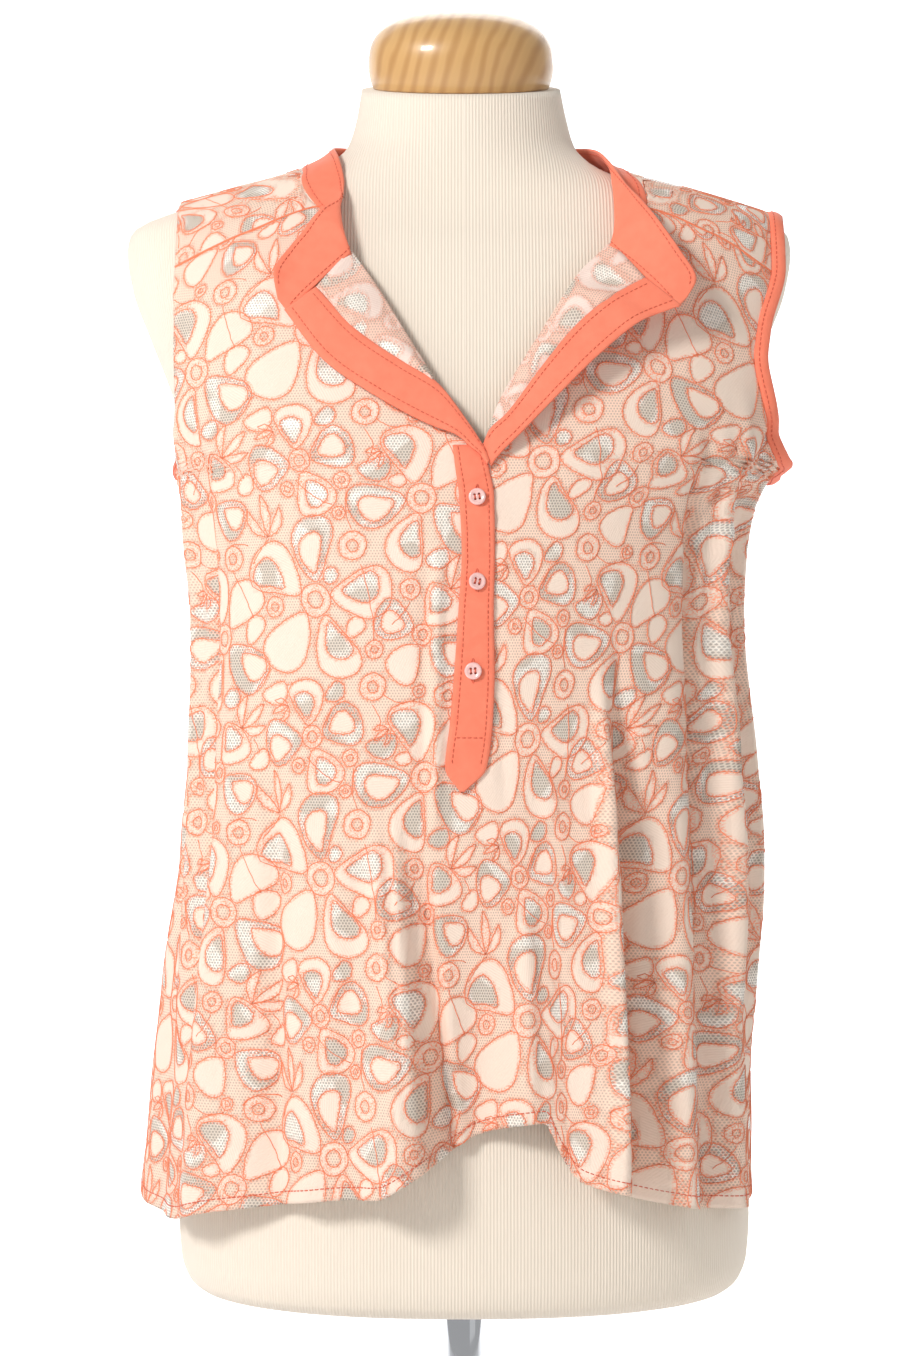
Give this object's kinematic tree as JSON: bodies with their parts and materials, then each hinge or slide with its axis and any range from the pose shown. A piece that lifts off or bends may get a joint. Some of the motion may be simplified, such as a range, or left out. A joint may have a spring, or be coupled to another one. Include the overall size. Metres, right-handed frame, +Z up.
{
  "type": "sleeveless lace blouse on a dress form",
  "caption": "Sleeveless pullover blouse of floral lace with a buttoned half placket and a turned-back band collar, hanging on a limbless dress form with pole and round foot.",
  "frame": {"origin": "centre of the foot's underside, on the floor", "axes": "+Z up; the front of the blouse faces -Y; +X is to the right as seen from the front"},
  "size_m": [0.397, 0.33, 1.0084],
  "materials": {
    "lace": "corded floral lace on a net ground",
    "coral_poplin": "plain woven cotton",
    "pearl_pink": "pearly resin",
    "jersey": "fine ribbed jersey stretched over a shell",
    "lacquered_wood": "turned and lacquered",
    "chrome": "polished plating",
    "steel": "satin steel plate"
  },
  "bodies": {
    "root": {"form_torso": "jersey", "form_neck_cap": "lacquered_wood", "form_pole": "chrome", "form_foot": "steel", "front_lace": "lace", "back_lace": "lace", "front_turnback_left": "lace", "front_turnback_right": "lace", "placket_left": "coral_poplin", "placket_right": "coral_poplin", "placket_overlap": "coral_poplin", "placket_underlap": "coral_poplin", "collar_band": "coral_poplin", "armhole_binding_left": "coral_poplin", "armhole_binding_right": "coral_poplin", "button_1": "pearl_pink", "button_2": "pearl_pink", "button_3": "pearl_pink"}
  },
  "joints": []
}
